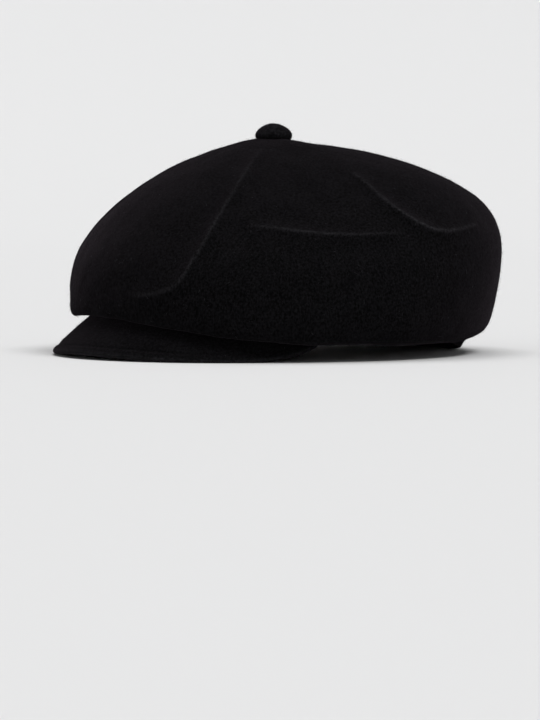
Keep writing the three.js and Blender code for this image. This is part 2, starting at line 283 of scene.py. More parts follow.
lowerSections = [
    {"angle": 0, "lift": 0, "droop": 0.66, "tuck": 0.85, "seam": 0.52, "bulge": 0.02},
    {"angle": 45, "lift": 0, "droop": 0.61, "tuck": 0.85, "seam": 0.56, "bulge": 0.02},
    {"angle": 90, "lift": 0, "droop": 0.31, "tuck": 0.6, "seam": 0.67, "bulge": 0.08},
    {"angle": 135, "lift": 0.06, "droop": 0, "tuck": 0.5, "seam": 0.89, "bulge": 0.17},
    {"angle": 180, "lift": 0.26, "droop": 0, "tuck": 0.5, "seam": 1, "bulge": 0.19},
    {"angle": 225, "lift": 0.13, "droop": 0, "tuck": 0.45, "seam": 0.89, "bulge": 0.15},
    {"angle": 270, "lift": 0.02, "droop": 0, "tuck": 0.6, "seam": 0.67, "bulge": 0.08},
    {"angle": 315, "lift": 0, "droop": 0.39, "tuck": 0.85, "seam": 0.56, "bulge": 0.02},
]


def around(angle, rows, column):
    # a smooth closed curve through one column of a table of sections
    turns = np.radians([row["angle"] for row in rows])
    values = np.array([row[column] for row in rows], float)
    count = len(rows)
    total = np.full(np.shape(angle), values.mean())
    for wave in range(1, count // 2 + 1):
        scale = (1 if wave == count // 2 else 2) / count
        total = total + scale * (values @ np.cos(wave * turns)) * np.cos(wave * np.radians(angle))
        if wave < count // 2:
            total = total + scale * (values @ np.sin(wave * turns)) * np.sin(wave * np.radians(angle))
    return total


def ellipseRadius(angle, halfWidth, halfLength):
    turn = np.radians(angle)
    return 1 / np.hypot(np.sin(turn) / halfWidth, np.cos(turn) / halfLength)


def heading(angle):
    turn = np.radians(angle)
    return np.stack([np.sin(turn), -np.cos(turn), np.zeros_like(turn)], -1)


def openingPlan(angle, outward):
    radius = ellipseRadius(angle, opening["halfWidth"], opening["halfLength"]) + outward
    return heading(angle) * radius[..., None]


def withHeight(plan, height):
    points = plan.copy()
    points[..., 2] = height
    return points


# Crown: a way along its skin is 0 at the button, 1 at the widest line and 2 at the seam with the band

crown = {
    "sideOverhang": 38,
    "endOverhang": 22,
    "forward": 11,
    "height": 100,
    "wall": 2.3,
    "tipRoundness": 0.08,
    "swellBend": 1.1,
    "shoulderSpacing": 1.8,
    "columns": 480,
    "outerRows": 156,
    "innerRows": 34,
    "firstWay": 0.012,
    "calmFrom": 1.6,
    "calmUntil": 1.9,
    "waves": [(34, 0.7), (13, 0.28), (5, 0.1)],
}
# Each crease runs through its points, given by angle and way; its last value tells how strong the painted
# highlight along its line is.
creases = [
    {
        "place": "front left",
        "angles": (37, 34, 31, 26, 13),
        "ways": (0.16, 0.58, 0.86, 1.05, 1.14),
        "height": 3.2,
        "width": 4.8,
        "lineHighlight": 1.0,
    },
    {
        "place": "left shoulder",
        "angles": (43, 55, 71, 90),
        "ways": (0.64, 0.655, 0.69, 0.74),
        "height": 2.8,
        "width": 5.4,
        "lineHighlight": 0.9,
    },
    {
        "place": "left top",
        "angles": (88, 90, 96, 104, 119),
        "ways": (0.36, 0.58, 0.73, 0.8, 0.81),
        "height": 3.4,
        "width": 4.8,
        "lineHighlight": 1.5,
    },
    {
        "place": "front right",
        "angles": (322, 319, 322, 331),
        "ways": (0.26, 0.56, 0.86, 1.16),
        "height": 2.6,
        "width": 5.4,
        "lineHighlight": 0.8,
    },
    {
        "place": "right shoulder",
        "angles": (298, 280, 262, 244),
        "ways": (0.66, 0.7, 0.72, 0.7),
        "height": 2.4,
        "width": 5.4,
        "lineHighlight": 0.8,
    },
    {
        "place": "back",
        "angles": (168, 178, 192, 212),
        "ways": (0.4, 0.58, 0.72, 0.8),
        "height": 2.6,
        "width": 5.4,
        "lineHighlight": 0.8,
    },
]
creaseForm = {
    "roundness": 1.2,
    "fade": 0.6,
    "hollowDepth": 0.3,
    "hollowWidth": 3,
    # the width of the painted highlight across a crease's line
    "highlightSpread": 4,
    "steps": 48,
}
dents = [
    {"place": "left", "angle": 70, "way": 0.52, "depth": 1.8, "spread": 17},
    {"place": "right", "angle": 285, "way": 0.5, "depth": 2, "spread": 24},
]
# steps along the way, and their weights in the mean that softens the profile
softening = [(-0.16, 0.1), (-0.08, 0.2), (0, 0.4), (0.08, 0.2), (0.16, 0.1)]


def anglesRound(columns):
    return np.arange(columns) * 360 / columns


def buttonPlan():
    return np.array([-button["right"], -button["forward"], 0.0])


def beltPlan(angle):
    halfWidth = opening["halfWidth"] + crown["sideOverhang"]
    halfLength = opening["halfLength"] + crown["endOverhang"]
    radius = ellipseRadius(angle, halfWidth, halfLength) * around(angle, upperSections, "reach")
    points = heading(angle) * radius[..., None]
    points[..., 1] -= crown["forward"]
    return points


def seamPlan(angle):
    return openingPlan(angle, band["wall"] + seamGap)


def seamHeight(angle):
    return band["height"] * around(angle, lowerSections, "seam")


def lipHeight(angle):
    overhang = np.linalg.norm(beltPlan(angle) - seamPlan(angle), axis=-1)
    fall = overhang * math.tan(math.radians(peak["slope"])) - peak["wall"]
    lift = crown["height"] * around(angle, lowerSections, "lift")
    return lift - fall * around(angle, lowerSections, "droop")


def crownAbove(angle, share):
    bend = around(angle, upperSections, "bend")
    tip = crown["tipRoundness"] ** bend
    whole = math.hypot(1, crown["tipRoundness"]) ** bend - tip
    fall = (np.hypot(share, crown["tipRoundness"]) ** bend - tip) / whole
    belt = crown["height"] * around(angle, upperSections, "belt")
    rise = np.maximum(0, 1 - fall) ** (1 / around(angle, upperSections, "fullness"))
    swelling = np.sin(np.pi * share ** crown["swellBend"]) ** 2
    swell = crown["height"] * around(angle, upperSections, "swell") * swelling
    plan = buttonPlan() + (beltPlan(angle) - buttonPlan()) * share[..., None]
    return withHeight(plan, belt + (crown["height"] - belt) * rise + swell)


def crownBelow(angle, share):
    outer = beltPlan(angle)
    inner = seamPlan(angle)
    tucked = inner + (outer - inner) * around(angle, lowerSections, "tuck")[..., None]
    outer[..., 2] = crown["height"] * around(angle, upperSections, "belt")
    inner[..., 2] = seamHeight(angle)
    tucked[..., 2] = (8 * lipHeight(angle) - outer[..., 2] - inner[..., 2]) / 6
    under = withHeight(outer, tucked[..., 2])
    t = share[..., None]
    start = outer * (1 - t) ** 3 + under * 3 * t * (1 - t) ** 2
    return start + tucked * 3 * t ** 2 * (1 - t) + inner * t ** 3


def crownSection(angle, way):
    above = crownAbove(angle, 1 - (1 - np.clip(way, 0, 1)) ** crown["shoulderSpacing"])
    below = crownBelow(angle, np.clip(way - 1, 0, 1))
    return np.where((way <= 1)[..., None], above, below)


def crownSmooth(angle, way):
    angle, way = np.broadcast_arrays(np.asarray(angle, float), np.asarray(way, float))
    farthest = softening[-1][0]
    room = np.clip(np.minimum(way, 2 - way) / farthest, 0, 1)
    return sum(weight * crownSection(angle, way + offset * room) for offset, weight in softening)


def throughAll(values, share):
    # a smooth curve through evenly spaced values, at shares of its length
    values = np.asarray(values, float)
    place = np.asarray(share) * (len(values) - 1)
    index = np.clip(place.astype(int), 0, len(values) - 2)
    t = place - index
    before, here = values[np.maximum(index - 1, 0)], values[index]
    there, after = values[index + 1], values[np.minimum(index + 2, len(values) - 1)]
    slopeHere, slopeThere = (there - before) / 2, (after - here) / 2
    cubic = 2 * here - 2 * there + slopeHere + slopeThere
    square = 3 * there - 3 * here - 2 * slopeHere - slopeThere
    return here + slopeHere * t + square * t ** 2 + cubic * t ** 3


def nearestOnLine(line, points):
    # the distance to a line, the share of its length where it is nearest, and the way from it to each point
    distance = np.full(len(points), np.inf)
    share = np.zeros(len(points))
    offset, run = np.zeros((len(points), 3)), np.zeros((len(points), 3))
    pieces = len(line) - 1
    for step in range(pieces):
        start, part = line[step], line[step + 1] - line[step]
        along = np.clip((points - start) @ part / (part @ part), 0, 1)
        way = points - start - along[:, None] * part
        away = np.linalg.norm(way, axis=1)
        nearer = away < distance
        distance[nearer] = away[nearer]
        share[nearer] = (step + along[nearer]) / pieces
        offset[nearer] = way[nearer]
        run[nearer] = part
    return distance, share, offset, run


def creaseLift(row, points, normals):
    # how far a crease lifts the skin, how strong the painted highlight on the skin is there, and the signed
    # distance to its line
    steps = np.linspace(0, 1, creaseForm["steps"] + 1)
    line = crownSmooth(throughAll(row["angles"], steps), throughAll(row["ways"], steps))
    distance, share, offset, run = nearestOnLine(line, points)
    side = np.sign(np.sum(np.cross(run, offset) * normals, axis=1))
    fade = np.sin(np.pi * share) ** creaseForm["fade"]
    roundness = creaseForm["roundness"]
    crest = np.exp(-(np.hypot(distance, roundness) - roundness) / row["width"])
    hollow = np.exp(-(distance / (creaseForm["hollowWidth"] * row["width"])) ** 2)
    # painted highlight along the crease's line
    paintedHighlight = row["lineHighlight"] * fade * np.exp(-(distance / creaseForm["highlightSpread"]) ** 2)
    return row["height"] * fade * (crest - creaseForm["hollowDepth"] * hollow), paintedHighlight, distance * side


def dentDepth(row, points):
    centre = crownSmooth(row["angle"], row["way"])
    distance = np.linalg.norm(points - centre, axis=1) / row["spread"]
    return row["depth"] * np.exp(-distance ** 2)


def unevenness(points, layers):
    # soft hand-worked waves in the felt: each layer is a wave length and a height
    lift = np.zeros(len(points))
    for length, height in layers:
        lift += [height * noise.noise(Vector(point / length)) for point in points]
    return lift


def outwardOf(grid):
    # normals of a grid whose rows run outwards and whose columns run round the cap
    along = np.gradient(grid, axis=0)
    sideways = np.roll(grid, -1, axis=1) - np.roll(grid, 1, axis=1)
    normals = np.cross(along, sideways)
    return normals / np.linalg.norm(normals, axis=-1, keepdims=True)


def crownGrid(ways, depth):
    # the crown's skin at some depth under its outer face, with its painted highlight and the distance to a
    # crease
    base = crownSmooth(anglesRound(crown["columns"])[None, :], ways[:, None])
    points = base.reshape(-1, 3)
    normals = outwardOf(base)
    raised = [creaseLift(row, points, normals.reshape(-1, 3)) for row in creases]
    lift = sum(row[0] for row in raised) - sum(dentDepth(row, points) for row in dents)
    lift = (lift + unevenness(points, crown["waves"])).reshape(base.shape[:2])
    paintedHighlight = np.array([row[1] for row in raised])
    offsets = np.array([row[2] for row in raised])[paintedHighlight.argmax(axis=0), np.arange(len(points))]
    calm = np.clip((crown["calmUntil"] - ways) / (crown["calmUntil"] - crown["calmFrom"]), 0, 1)
    return base + normals * (lift * calm[:, None] - depth)[..., None], (paintedHighlight.max(axis=0), offsets)


def crownShape():
    outerWays = np.linspace(crown["firstWay"], 2, crown["outerRows"])
    innerWays = np.linspace(crown["firstWay"], 2, crown["innerRows"])
    outer, paintedHighlight = crownGrid(outerWays, 0)
    inner = crownGrid(innerWays, crown["wall"])[0][::-1]
    # below the widest line the inner face stays outside the seam
    seam = seamPlan(anglesRound(crown["columns"]))
    least = np.hypot(seam[:, 0], seam[:, 1])
    plan = np.hypot(inner[..., 0], inner[..., 1])
    below = innerWays[::-1] > 1
    scale = np.where(below[:, None] & (plan < least), least / plan, 1)
    inner[..., :2] *= scale[..., None]
    return outer, inner, paintedHighlight


# Meshes from grids of points

def closedBetweenPoints(grids):
    # rings of points from one pole to the other, closed by a point at each
    rows = np.concatenate(grids)
    count = rows.shape[1]
    top, underTop = rows[0].mean(0), rows[-1].mean(0)
    points = np.concatenate([[top], rows.reshape(-1, 3), [underTop]])
    here = 1 + np.arange(len(rows) * count).reshape(len(rows), count)
    there = np.roll(here, -1, axis=1)
    sides = np.stack([here[:-1], here[1:], there[1:], there[:-1]], -1).reshape(-1, 4)
    faces = [tuple(face) for face in sides.tolist()]
    faces += [(0, a, b) for a, b in zip(here[0].tolist(), there[0].tolist())]
    end = len(points) - 1
    faces += [(end, b, a) for a, b in zip(here[-1].tolist(), there[-1].tolist())]
    return points, faces


def closedRound(rows):
    # rings of points whose last row joins the first
    count = rows.shape[1]
    here = np.arange(len(rows) * count).reshape(len(rows), count)
    there = np.roll(here, -1, axis=1)
    sides = np.stack([here, np.roll(here, -1, 0), np.roll(there, -1, 0), there], -1).reshape(-1, 4)
    return rows.reshape(-1, 3), [tuple(face) for face in sides.tolist()]


# Band

band = {
    "height": 27,
    "wall": 2.8,
    "fullUntil": 0.88,
    "columns": 360,
    "outerRows": 40,
    "innerRows": 14,
    "innerFrom": 0.03,
    "outerFrom": 0.04,
    "edgeRise": 0.9,
    "edgeTurns": (0, 30, 60, 90, 120, 150, 180),
    "foldAngle": 145,
    "foldHeight": 0.7,
    "foldWidth": 1.5,
    "foldLean": 14,
    "waves": [(26, 0.5), (9, 0.2)],
}


def bandPoint(angle, share, wall):
    rounded = np.sin(np.pi * np.minimum(1, share / band["fullUntil"])) ** 2
    bulge = band["height"] * around(angle, lowerSections, "bulge") * rounded
    height = (seamHeight(angle) + crown["wall"] / 2) * share
    points = withHeight(openingPlan(angle, wall + bulge), height)
    # a small upright fold in the felt near the back on the wearer's left
    reach = np.linalg.norm(points[..., :2], axis=-1)
    turn = np.radians(angle - band["foldAngle"] - band["foldLean"] * (0.5 - share))
    lift = band["foldHeight"] * rounded * np.exp(-(turn * reach / band["foldWidth"]) ** 2)
    lift = lift + rounded * unevenness(points, band["waves"])
    return points + heading(angle) * lift[:, None]


def bandShape():
    angles = anglesRound(band["columns"])
    upward = np.linspace(band["innerFrom"], 1, band["innerRows"])
    downward = np.linspace(1, band["outerFrom"], band["outerRows"])
    inside = [bandPoint(angles, share, 0) for share in upward]
    outside = [bandPoint(angles, share, band["wall"]) for share in downward]
    # the lower edge is round
    half = band["wall"] / 2
    edge = []
    for turn in np.radians(band["edgeTurns"]):
        plan = openingPlan(angles, half + half * np.cos(turn))
        edge.append(withHeight(plan, band["edgeRise"] * (1 - np.sin(turn))))
    return np.stack(inside + outside + edge)


# Peak

peak = {
    "depth": 56,
    "wall": 3,
    "halfAngle": 69,
    "slope": 49,
    "sideSlope": 54,
    "curl": 5,
    "taperBend": 2.5,
    "taperFullness": 0.55,
    "gap": 0.75,
    "sections": 300,
    "rows": 60,
    "rowSpacing": 1.6,
    "edgeSteps": 10,
    "endShare": 0.995,
    "stitchInset": 5,
    "grooveDepth": 0.42,
    "grooveWidth": 0.8,
    "puff": 0.22,
    # strength and width of the painted highlight along the peak's rim
    "rimHighlight": 0.7,
    "rimHighlightWidth": 3,
    "waves": [(40, 0.5), (11, 0.18)],
}


def peakSection(angle):
    # the outline of the peak's wall from its root out along the top, round the edge and back below
    endShare = abs(angle) / peak["halfAngle"]
    half = peak["wall"] / 2
    depth = max(peak["wall"], peak["depth"] * (1 - endShare ** peak["taperBend"]) ** peak["taperFullness"])
    slope = peak["slope"] + (peak["sideSlope"] - peak["slope"]) * endShare ** 2
    turn = np.array(float(angle))
    root = openingPlan(turn, band["wall"] + peak["gap"])
    outward = heading(turn) / np.array([opening["halfWidth"], opening["halfLength"], 1])
    outward /= np.linalg.norm(outward)
    up = np.array([0.0, 0.0, 1.0])
    along = 1 - (1 - np.linspace(0, 1, peak["rows"] + 1)) ** peak["rowSpacing"]
    along *= 1 - half / depth
    middle = np.radians(slope + peak["curl"] * (along - 1))
    local = np.radians(slope + peak["curl"] * (2 * along - 1))
    across = depth * along * np.cos(middle)
    height = -depth * along * np.sin(middle)
    upright = np.arange(len(along)) == 0
    lean = np.where(upright, 0, half * np.sin(local))
    rise = np.where(upright, half / np.cos(local), half * np.cos(local))
    upper = root + outward * (across + lean)[:, None] + up * (height + rise)[:, None]
    lower = root + outward * (across - lean)[:, None] + up * (height - rise)[:, None]
    centre = (upper[-1] + lower[-1]) / 2
    edgeSlope = math.radians(slope + peak["curl"] * (1 - half / depth))
    turns = np.linspace(90, -90, peak["edgeSteps"] + 2)[1:-1]
    bends = np.radians(turns) - edgeSlope
    edge = centre + half * (outward * np.cos(bends)[:, None] + up * np.sin(bends)[:, None])
    return np.concatenate([upper, edge, lower[::-1]])


def stitchPlace(face, distance):
    # for each section of one face, its point that lies stitchInset away from the peak's edge
    places = []
    for points, away in zip(face, distance):
        inside = np.nonzero(away > peak["stitchInset"])[0]
        if len(inside) == 0:
            continue
        row = inside[-1]
        share = (away[row] - peak["stitchInset"]) / (away[row] - away[row + 1])
        places.append(points[row] + (points[row + 1] - points[row]) * share)
    return np.array(places)


def peakShape():
    turns = np.linspace(-math.pi / 2, math.pi / 2, peak["sections"] + 1)
    grid = np.stack([peakSection(peak["endShare"] * peak["halfAngle"] * math.sin(turn)) for turn in turns])
    rows = peak["rows"] + 1
    upper, edge, lower = grid[:, :rows], grid[:, rows:-rows], grid[:, :-rows - 1:-1]
    edgeLine = edge.mean(axis=1)
    distance = nearestOnLine(edgeLine, ((upper + lower) / 2).reshape(-1, 3))[0].reshape(upper.shape[:2])
    upward = upper - lower
    upward /= np.linalg.norm(upward, axis=-1, keepdims=True)
    # the stitched line is pressed in, and the felt outside it stands a little fuller
    groove = peak["grooveDepth"] * np.exp(-((distance - peak["stitchInset"]) / peak["grooveWidth"]) ** 2)
    outside = np.clip(1 - np.abs(2 * distance / peak["stitchInset"] - 1), 0, 1)
    press = (groove - peak["puff"] * np.sin(outside * np.pi / 2))[..., None]
    wave = unevenness(upper.reshape(-1, 3), peak["waves"]).reshape(distance.shape)[..., None]
    calm = np.clip(distance / peak["stitchInset"], 0, 1)[..., None]
    calm[:, 0] = 0
    upper += upward * (wave * calm - press)
    lower += upward * (wave * calm + press)
    stitches = [stitchPlace(upper, distance), stitchPlace(lower, distance)]
    # the rim gets a painted highlight too, from the distance to it for every point of the mesh
    away = np.concatenate([distance, np.zeros(edge.shape[:2]), distance[:, ::-1]], axis=1).ravel()
    rim = (peak["rimHighlight"] * np.exp(-(away / peak["rimHighlightWidth"]) ** 2), away)
    size = grid.shape[1]
    here = np.arange(len(grid) * size).reshape(len(grid), size)
    there = np.roll(here, -1, axis=1)
    sides = np.stack([here[:-1], there[:-1], there[1:], here[1:]], -1).reshape(-1, 4)
    faces = [tuple(face) for face in sides.tolist()]
    end = (len(grid) - 1) * size
    for corner in range(size // 2 - 1):
        across = size - 1 - corner
        faces.append((corner, across, across - 1, corner + 1))
        faces.append((end + corner, end + corner + 1, end + across - 1, end + across))
    return grid.reshape(-1, 3), faces, stitches, rim


# Button

button = {
    "radius": 10.5,
    "height": 8,
    "forward": 32,
    "right": 4,
    "sideHeight": 0.3,
    "sideTuck": 0.06,
    "domeWidth": 0.9,
    "domeFall": 1.1,
    "underUntil": 0.9,
    "columns": 96,
    "domeRows": 20,
    "sideRows": 10,
    "underRows": 10,
    "waves": [(7, 0.3), (3, 0.12)],
}


def buttonProfile():
    # how far out and how high each ring lies, as shares of the radius and the height
    side, tuck = button["sideHeight"], button["sideTuck"]
    profile = []
    for turn in np.linspace(0, math.pi / 2, button["domeRows"])[1:]:
        rise = side + (1 - side) * math.cos(turn) ** button["domeFall"]
        profile.append((math.sin(turn) ** button["domeWidth"], rise))
    for share in np.linspace(0, 1, button["sideRows"])[1:]:
        profile.append((1 - tuck * share ** 2, side * (1 - share)))
    for share in np.linspace(0, button["underUntil"], button["underRows"])[1:]:
        profile.append(((1 - tuck) * (1 - share), 0))
    return profile


def buttonShape():
    angles = anglesRound(button["columns"])
    reach = np.linalg.norm(beltPlan(angles) - buttonPlan(), axis=-1)
    rows = []
    for out, rise in buttonProfile():
        share = button["radius"] * out / reach
        points = crownSmooth(angles, 1 - (1 - share) ** (1 / crown["shoulderSpacing"]))
        points[:, 2] += seamGap + button["height"] * rise
        points[:, 2] += rise * unevenness(points, button["waves"])
        rows.append(points)
    return np.stack(rows)


# The cap laid on its rest: its front raised until peak and band lie equally low, as the frame has it

rest = {"press": 0.9, "mostTilt": 30, "halvings": 40}


def tilted(points, tilt):
    run = points[..., 1] * math.cos(tilt) + points[..., 2] * math.sin(tilt)
    height = points[..., 2] * math.cos(tilt) - points[..., 1] * math.sin(tilt)
    return np.stack([points[..., 0], run, height], -1)


def restTilt(peakPoints, bandPoints):
    low, high = 0, math.radians(rest["mostTilt"])
    for step in range(rest["halvings"]):
        middle = (low + high) / 2
        if tilted(peakPoints, middle)[:, 2].min() < tilted(bandPoints, middle)[:, 2].min():
            low = middle
        else:
            high = middle
    return low


crownOuter, crownInner, crownHighlight = crownShape()
bandRows = bandShape()
peakPoints, peakFaces, stitchLines, peakHighlight = peakShape()
tilt = restTilt(peakPoints, bandRows.reshape(-1, 3))
floorHeight = tilted(bandRows, tilt)[..., 2].min() + rest["press"]
bandLow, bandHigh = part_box("band")
laidBand = tilted(bandRows, tilt).reshape(-1, 3)
shift = (np.array(bandLow) + np.array(bandHigh)) / 2 / mm - (laidBand.min(0) + laidBand.max(0)) / 2
print("tilt", round(math.degrees(tilt), 3), "shift", shift.round(3), "floor", round(floorHeight, 3))


def laid(points):
    # in metres, over the floor; what would lie lower is pressed flat
    placed = tilted(points, tilt) + [shift[0], shift[1], -floorHeight]
    placed[..., 2] = np.maximum(placed[..., 2], 0)
    return placed * mm


def addPiece(name, points, faces, material):
    mesh = bpy.data.meshes.new(name)
    mesh.from_pydata(points.tolist(), [], faces)
    mesh.shade_smooth()
    mesh.materials.append(material)
    piece = bpy.data.objects.new(name, mesh)
    bpy.context.collection.objects.link(piece)
    return piece


def addPaintedHighlight(piece, paintedHighlight, first):
    # the painted highlight crest and its creaseOffset for the points of a piece that start at first; the
    # others keep 0
    for name, values in zip(("crest", "creaseOffset"), paintedHighlight):
        layer = piece.data.attributes.new(name, "FLOAT", "POINT")
        whole = np.zeros(len(piece.data.vertices), np.float32)
        whole[first:first + len(values)] = values
        layer.data.foreach_set("value", whole)


def standFor(piece, node):
    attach(piece, "root")
    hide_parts(node)


crownPoints, crownFaces = closedBetweenPoints([laid(crownOuter), laid(crownInner)])
crownPiece = addPiece("crownFelt", crownPoints, crownFaces, materials["crown"])
addPaintedHighlight(crownPiece, crownHighlight, 1)
standFor(crownPiece, "crown")
bandPoints, bandFaces = closedRound(laid(bandRows))
standFor(addPiece("bandFelt", bandPoints, bandFaces, materials["band"]), "band")
laidPeak = laid(peakPoints)
peakPiece = addPiece("peakFelt", laidPeak, peakFaces, materials["peak"])
addPaintedHighlight(peakPiece, peakHighlight, 0)
standFor(peakPiece, "peak")
buttonPoints, buttonFaces = closedBetweenPoints([laid(buttonShape())])
standFor(addPiece("buttonFelt", buttonPoints, buttonFaces, materials["button"]), "button")
print("crown, band, peak and button made")


# Stray fibres and stitches, repeated by node trees

def newTree(name, inputs):
    # a tree with named inputs, given as name: (kind of socket, value)
    tree = bpy.data.node_groups.new(name, "GeometryNodeTree")
    tree.interface.new_socket("Geometry", in_out="INPUT", socket_type="NodeSocketGeometry")
    tree.interface.new_socket("Geometry", in_out="OUTPUT", socket_type="NodeSocketGeometry")
    for inputName, (kind, value) in inputs.items():
        tree.interface.new_socket(inputName, in_out="INPUT", socket_type="NodeSocket" + kind)
    return tree, addNode(tree, "NodeGroupInput"), addNode(tree, "NodeGroupOutput")


def grow(name, base, tree, inputs):
    # runs a tree on a base piece and keeps only what it makes, as a plain mesh
    modifier = base.modifiers.new("grow", "NODES")
    modifier.node_group = tree
    for item in tree.interface.items_tree:
        if item.in_out == "INPUT" and item.name in inputs:
            modifier[item.identifier] = inputs[item.name][1]
    evaluated = base.evaluated_get(bpy.context.evaluated_depsgraph_get())
    mesh = bpy.data.meshes.new_from_object(evaluated)
    mesh.name = name
    base.modifiers.remove(modifier)
    bpy.data.objects.remove(base)
    piece = bpy.data.objects.new(name, mesh)
    bpy.context.collection.objects.link(piece)
    return piece


clearOfFloor = 2.6  # no hair starts lower
hairSides = 3
hairSegments = 2
hairs = {
    "fibre": {
        "length": 1.9,
        "thickness": 0.055,
        "curl": 0.5,
        "leanLeast": 35,
        "leanMost": 82,
        "smallest": 0.45,
        "largest": 1.35,
    },
    "lint": {
        "length": 2.4,
        "thickness": 0.2,
        "curl": 0.3,
        "leanLeast": 78,
        "leanMost": 88,
        "smallest": 0.3,
        "largest": 1.1,
    },
}
# side is 1 for the wearer's left half of a piece, -1 for the right half and 0 for all of it
hairCover = [
    {"name": "crownFibresLeft", "kind": "fibre", "node": "crown", "side": 1, "perSquareCm": 26, "seed": 3},
    {"name": "crownFibresRight", "kind": "fibre", "node": "crown", "side": -1, "perSquareCm": 26, "seed": 4},
    {"name": "bandFibres", "kind": "fibre", "node": "band", "side": 0, "perSquareCm": 26, "seed": 5},
    {"name": "peakFibres", "kind": "fibre", "node": "peak", "side": 0, "perSquareCm": 26, "seed": 6},
    {"name": "buttonFibres", "kind": "fibre", "node": "button", "side": 0, "perSquareCm": 60, "seed": 7},
    {"name": "crownLint", "kind": "lint", "node": "crown", "side": 0, "perSquareCm": 0.8, "seed": 8},
    {"name": "peakLint", "kind": "lint", "node": "peak", "side": 0, "perSquareCm": 0.8, "seed": 9},
]
squareCmPerSquareMetre = 1e4


def hairTree(inputs, kind):
    tree, start, end = newTree("strayHairs", inputs)
    link = tree.links.new
    scatter = addNode(tree, "GeometryNodeDistributePointsOnFaces")
    hair = addNode(tree, "GeometryNodeMeshCone", fill_type="NGON")
    hair.inputs["Vertices"].default_value = hairSides
    hair.inputs["Side Segments"].default_value = hairSegments
    hair.inputs["Radius Top"].default_value = 0
    # each hair bends sideways with the square of its height
    place = addNode(tree, "GeometryNodeInputPosition")
    split = addNode(tree, "ShaderNodeSeparateXYZ")
    share = addNode(tree, "ShaderNodeMath", operation="DIVIDE")
    square = addNode(tree, "ShaderNodeMath", operation="MULTIPLY")
    bend = addNode(tree, "ShaderNodeMath", operation="MULTIPLY")
    reach = addNode(tree, "ShaderNodeMath", operation="MULTIPLY")
    offset = addNode(tree, "ShaderNodeCombineXYZ")
    curled = addNode(tree, "GeometryNodeSetPosition")
    link(start.outputs["Thickness"], hair.inputs["Radius Bottom"])
    link(start.outputs["Length"], hair.inputs["Depth"])
    link(place.outputs["Position"], split.inputs["Vector"])
    link(split.outputs["Z"], share.inputs[0])
    link(start.outputs["Length"], share.inputs[1])
    link(share.outputs["Value"], square.inputs[0])
    link(share.outputs["Value"], square.inputs[1])
    link(start.outputs["Length"], reach.inputs[0])
    link(start.outputs["Curl"], reach.inputs[1])
    link(square.outputs["Value"], bend.inputs[0])
    link(reach.outputs["Value"], bend.inputs[1])
    link(bend.outputs["Value"], offset.inputs["X"])
    link(hair.outputs["Mesh"], curled.inputs["Geometry"])
    link(offset.outputs["Vector"], curled.inputs["Offset"])
    # every hair leans away from the surface's normal, in a direction of its own
    lean = addNode(tree, "FunctionNodeRandomValue", data_type="FLOAT_VECTOR")
    lean.inputs[0].default_value = (math.radians(kind["leanLeast"]), 0, 0)
    lean.inputs[1].default_value = (math.radians(kind["leanMost"]), 0, 2 * math.pi)
    turn = addNode(tree, "FunctionNodeRotateRotation", rotation_space="LOCAL")
    size = addNode(tree, "FunctionNodeRandomValue", data_type="FLOAT")
    size.inputs[2].default_value = kind["smallest"]
    size.inputs[3].default_value = kind["largest"]
    copies = addNode(tree, "GeometryNodeInstanceOnPoints")
    real = addNode(tree, "GeometryNodeRealizeInstances")
    finish = addNode(tree, "GeometryNodeSetMaterial")
    link(start.outputs["Geometry"], scatter.inputs["Mesh"])
    link(start.outputs["Density"], scatter.inputs["Density"])
    link(start.outputs["Seed"], scatter.inputs["Seed"])
    link(start.outputs["Seed"], lean.inputs["Seed"])
    link(start.outputs["Seed"], size.inputs["Seed"])
    link(scatter.outputs["Rotation"], turn.inputs[0])
    link(lean.outputs[0], turn.inputs[1])
    link(scatter.outputs["Points"], copies.inputs["Points"])
    link(curled.outputs["Geometry"], copies.inputs["Instance"])
    link(turn.outputs[0], copies.inputs["Rotation"])
    link(size.outputs[1], copies.inputs["Scale"])
    link(copies.outputs["Instances"], real.inputs["Geometry"])
    link(real.outputs["Geometry"], finish.inputs["Geometry"])
    link(start.outputs["Material"], finish.inputs["Material"])
    link(finish.outputs["Geometry"], end.inputs["Geometry"])
    return tree


def skinAbove(name, points, faces, side):
    # the part of a skin that lies clear of the floor
    middles = np.array([points[list(face)].mean(0) for face in faces])
    keep = middles[:, 2] > clearOfFloor * mm
    if side != 0:
        keep &= middles[:, 0] * side > 0
    kept = [face for face, wanted in zip(faces, keep) if wanted]
    return addPiece(name, points, kept, materials["fibre"])


def addHairs(row, points, faces):
    kind = hairs[row["kind"]]
    inputs = {
        "Density": ("Float", row["perSquareCm"] * squareCmPerSquareMetre),
        "Length": ("Float", kind["length"] * mm),
        "Thickness": ("Float", kind["thickness"] / 2 * mm),
        "Curl": ("Float", kind["curl"]),
        "Seed": ("Int", row["seed"]),
        "Material": ("Material", materials[row["kind"]]),
    }
    base = skinAbove(row["name"] + "Base", points, faces, row["side"])
    piece = grow(row["name"], base, hairTree(inputs, kind), inputs)
    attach(piece, "root")
    print(row["name"], len(piece.data.polygons), "faces")


buttonRings = len(buttonFaces) // button["columns"] - button["underRows"]
hairySkins = {
    "crown": (crownPoints, crownFaces[:(crown["outerRows"] - 1) * crown["columns"]]),
    "band": (bandPoints, [face for face in bandFaces if min(face) >= band["innerRows"] * band["columns"]]),
    "peak": (laidPeak, peakFaces),
    "button": (buttonPoints, buttonFaces[:buttonRings * button["columns"]]),
}
for row in hairCover:
    addHairs(row, *hairySkins[row["node"]])

stitch = {
    "length": 2.5,
    "thickness": 0.55,
    "spacing": 3.4,
    "segments": 6,
    "rings": 5,
}


